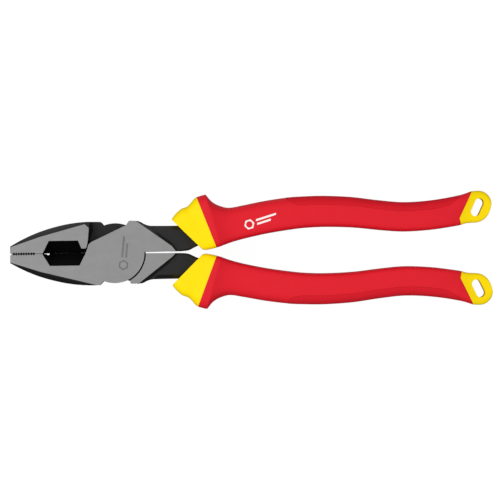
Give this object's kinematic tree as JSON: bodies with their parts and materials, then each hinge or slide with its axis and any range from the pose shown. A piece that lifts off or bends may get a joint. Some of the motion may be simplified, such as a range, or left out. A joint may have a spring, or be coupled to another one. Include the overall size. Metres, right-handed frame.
{
  "type": "lineman pliers",
  "caption": "Insulated lineman pliers: two lapped steel halves on a flush rivet, toothed jaws, side cutters, guarded handles with tether holes.",
  "frame": {"origin": "on the pivot axis, at the joint's back ground face", "axes": "+Z along the pivot axis to the joint's front ground face, +X from the jaws to the ends of the handles, +Y towards the handle that belongs to the front half"},
  "size_m": [0.2479, 0.0586, 0.0252],
  "materials": {
    "forged_steel": "ground faces, black oxide elsewhere",
    "rivet_steel": "ground flush",
    "yellow_insulation": "satin moulded",
    "red_shell": "satin moulded",
    "soft_inlay": "matte soft moulded"
  },
  "bodies": {
    "front_half": {"front_jaw_half": "forged_steel", "pivot_rivet": "rivet_steel", "front_grip_liner": "yellow_insulation", "front_grip_shell": "red_shell", "front_palm_inlay": "soft_inlay"},
    "back_half": {"back_jaw_half": "forged_steel", "back_grip_liner": "yellow_insulation", "back_grip_shell": "red_shell", "back_palm_inlay": "soft_inlay"}
  },
  "joints": [
    {"name": "pivot", "type": "hinge", "parent": "front_half", "child": "back_half", "pos_m": [0, 0, 0.008], "axis": [0, 0, -1], "range_deg": [0, 48]}
  ]
}
